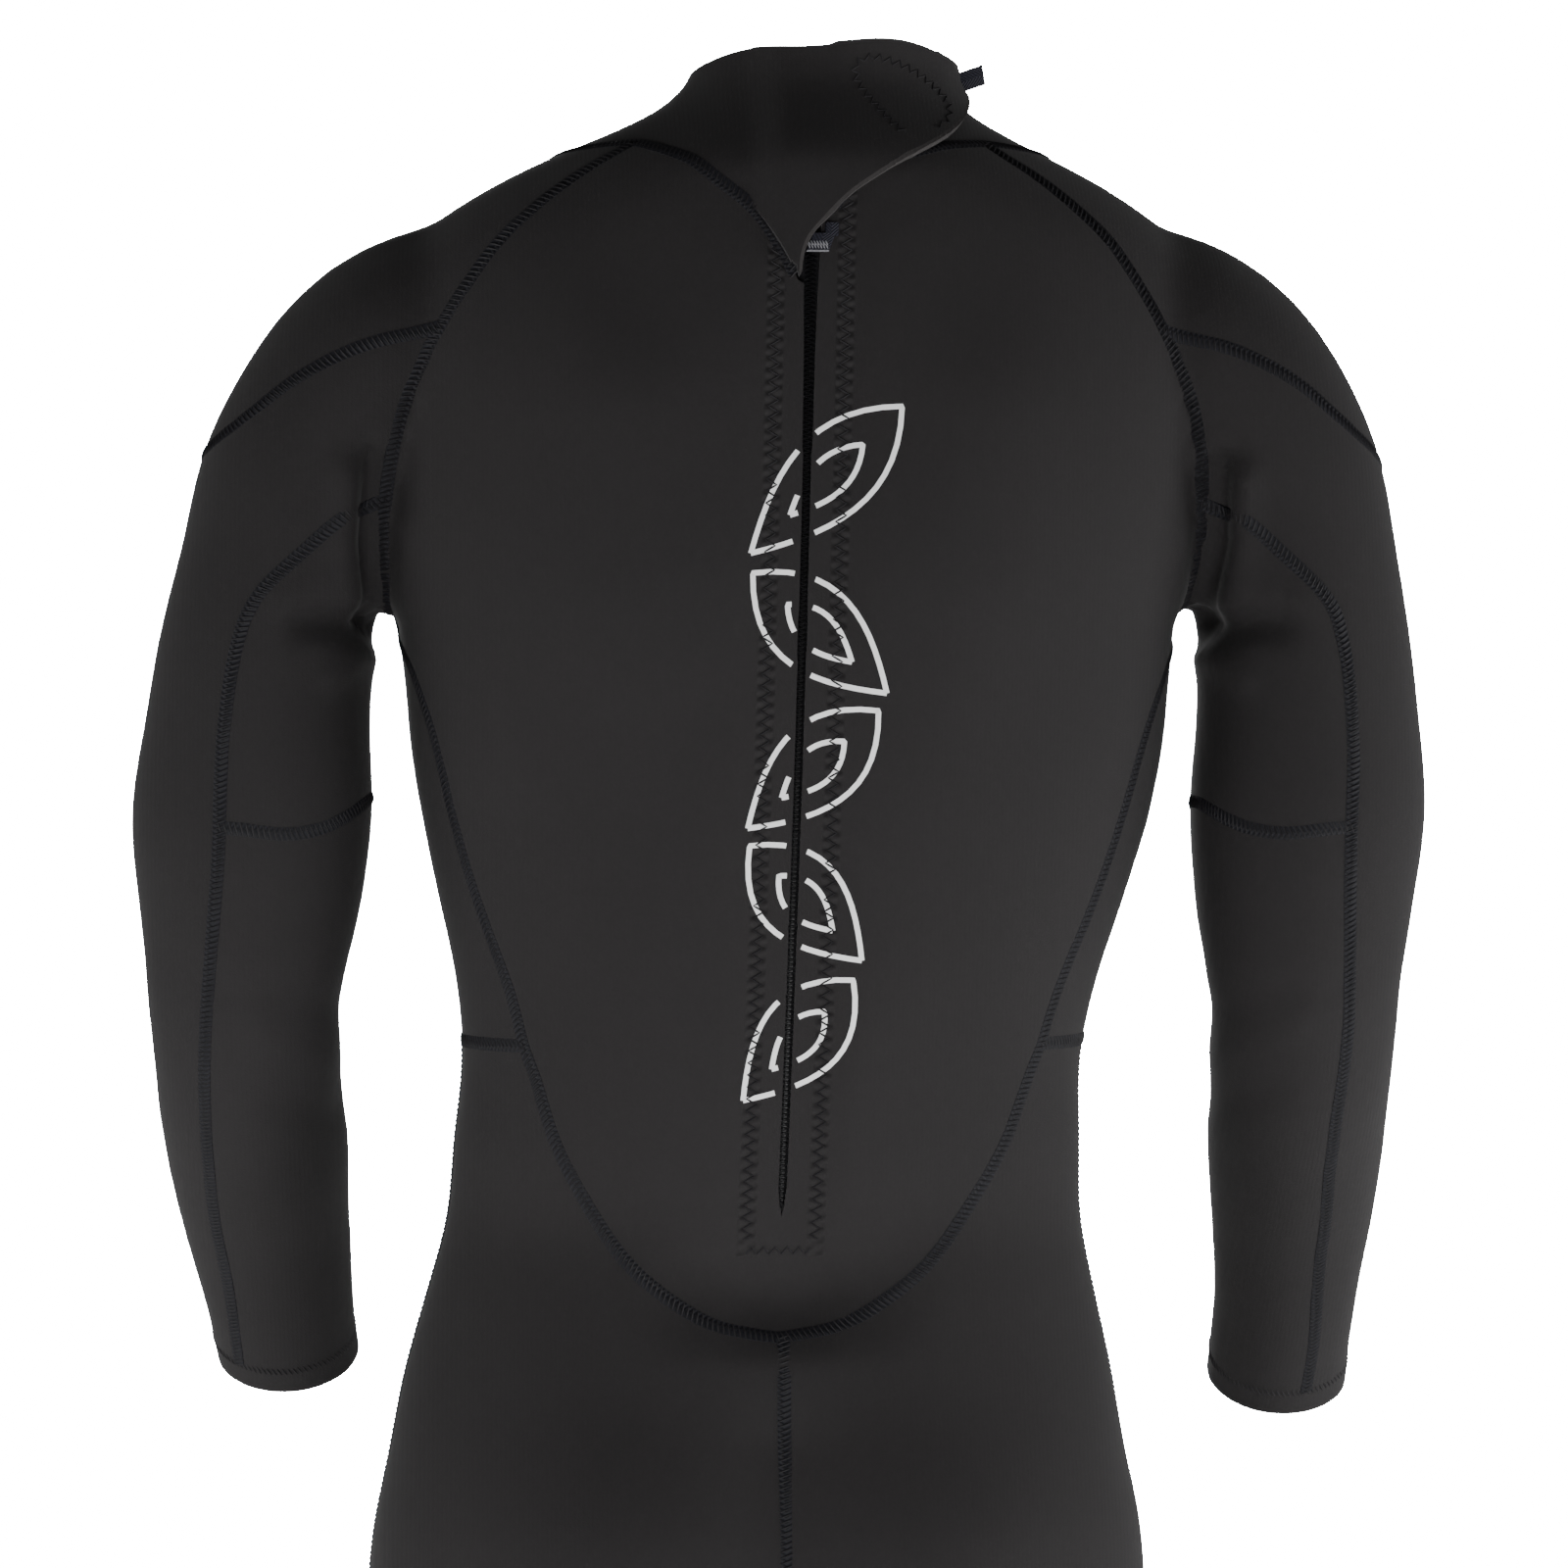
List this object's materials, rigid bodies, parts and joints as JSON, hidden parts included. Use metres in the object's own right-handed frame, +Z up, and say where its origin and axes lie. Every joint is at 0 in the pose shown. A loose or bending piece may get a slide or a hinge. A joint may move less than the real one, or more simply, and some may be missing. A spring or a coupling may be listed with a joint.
{
  "type": "full wetsuit",
  "caption": "Full-length back-zip wetsuit of panelled neoprene: collar with a hook-and-loop neck flap, centre-back zip, bent sleeves and long legs with knee pads.",
  "frame": {"origin": "root of the neck, midway between the shoulders, where the wearer's shoulders carry the suit", "axes": "+Z up along the body, +X to the wearer's left, +Y out of the wearer's back, where the zip is"},
  "size_m": [0.6001, 0.2731, 1.47],
  "materials": {
    "neoprene": "matte nylon jersey over neoprene",
    "knee_rubber": "matte",
    "webbing": "woven",
    "hook_and_loop": "pile",
    "zip_coil": "satin",
    "zip_slider": "satin enamel",
    "seam_thread": "flatlock thread",
    "print": "screen print",
    "foam_edge": "cut neoprene foam"
  },
  "bodies": {
    "suit": {"back_panel": "neoprene", "front_panel": "neoprene", "collar_band": "neoprene", "collar_underlap": "neoprene", "loop_patch": "hook_and_loop", "zip_bottom_stop": "zip_coil", "zip_guard": "neoprene", "side_panel_left": "neoprene", "shoulder_panel_left": "neoprene", "sleeve_outer_left": "neoprene", "underarm_panel_left": "neoprene", "sleeve_inner_left": "neoprene", "elbow_zone_left": "neoprene", "seat_panel_left": "neoprene", "front_leg_panel_left": "neoprene", "knee_pad_left": "knee_rubber", "knee_back_left": "neoprene", "zip_tape_left": "webbing", "zip_coil_left": "zip_coil", "zip_top_stop_left": "zip_coil", "side_panel_right": "neoprene", "shoulder_panel_right": "neoprene", "sleeve_outer_right": "neoprene", "underarm_panel_right": "neoprene", "sleeve_inner_right": "neoprene", "elbow_zone_right": "neoprene", "seat_panel_right": "neoprene", "front_leg_panel_right": "neoprene", "knee_pad_right": "knee_rubber", "knee_back_right": "neoprene", "zip_tape_right": "webbing", "zip_coil_right": "zip_coil", "zip_top_stop_right": "zip_coil"},
    "forearm_left": {"forearm_outer_left": "neoprene", "forearm_inner_left": "neoprene", "wrist_hem_left": "neoprene"},
    "lower_leg_left": {"calf_panel_left": "neoprene", "shin_panel_left": "neoprene", "ankle_hem_left": "neoprene"},
    "forearm_right": {"forearm_outer_right": "neoprene", "forearm_inner_right": "neoprene", "wrist_hem_right": "neoprene"},
    "lower_leg_right": {"calf_panel_right": "neoprene", "shin_panel_right": "neoprene", "ankle_hem_right": "neoprene"},
    "flap": {"neck_flap": "neoprene", "hook_patch": "hook_and_loop", "flap_tab": "webbing"},
    "slider": {"zip_slider": "zip_slider"},
    "pull": {"zip_puller": "zip_slider", "pull_strap": "webbing"}
  },
  "joints": [
    {"name": "elbow_left", "type": "hinge", "parent": "suit", "child": "forearm_left", "pos_m": [0.24997, 0.003, -0.384], "axis": [-1, 0, 0], "range_deg": [-38, 55], "stiffness_Nm_per_rad": 2, "deforming": ["elbow_zone_left"]},
    {"name": "knee_left", "type": "hinge", "parent": "suit", "child": "lower_leg_left", "pos_m": [0.10798, -0.004, -1.04], "axis": [1, 0, 0], "range_deg": [0, 70], "stiffness_Nm_per_rad": 3, "deforming": ["knee_pad_left", "knee_back_left"]},
    {"name": "elbow_right", "type": "hinge", "parent": "suit", "child": "forearm_right", "pos_m": [-0.26003, 0.003, -0.384], "axis": [-1, 0, 0], "range_deg": [-38, 55], "stiffness_Nm_per_rad": 2, "deforming": ["elbow_zone_right"]},
    {"name": "knee_right", "type": "hinge", "parent": "suit", "child": "lower_leg_right", "pos_m": [-0.10802, -0.004, -1.04], "axis": [1, 0, 0], "range_deg": [0, 70], "stiffness_Nm_per_rad": 3, "deforming": ["knee_pad_right", "knee_back_right"]},
    {"name": "flap_peel", "type": "hinge", "parent": "suit", "child": "flap", "pos_m": [-0.0067, 0.108, -0.05], "axis": [0, 0.2447, -0.9696], "range_deg": [0, 100]},
    {"name": "zip_travel", "type": "hinge", "parent": "suit", "child": "slider", "pos_m": [-0.00978, -1.142, -0.215], "axis": [-0.9996, 0, -0.0283], "range_deg": [0, 20.9]},
    {"name": "pull_swing", "type": "hinge", "parent": "slider", "child": "pull", "pos_m": [-0.02002, 0.0954, -0.03034], "axis": [1, 0, 0], "range_deg": [0, 75]}
  ]
}
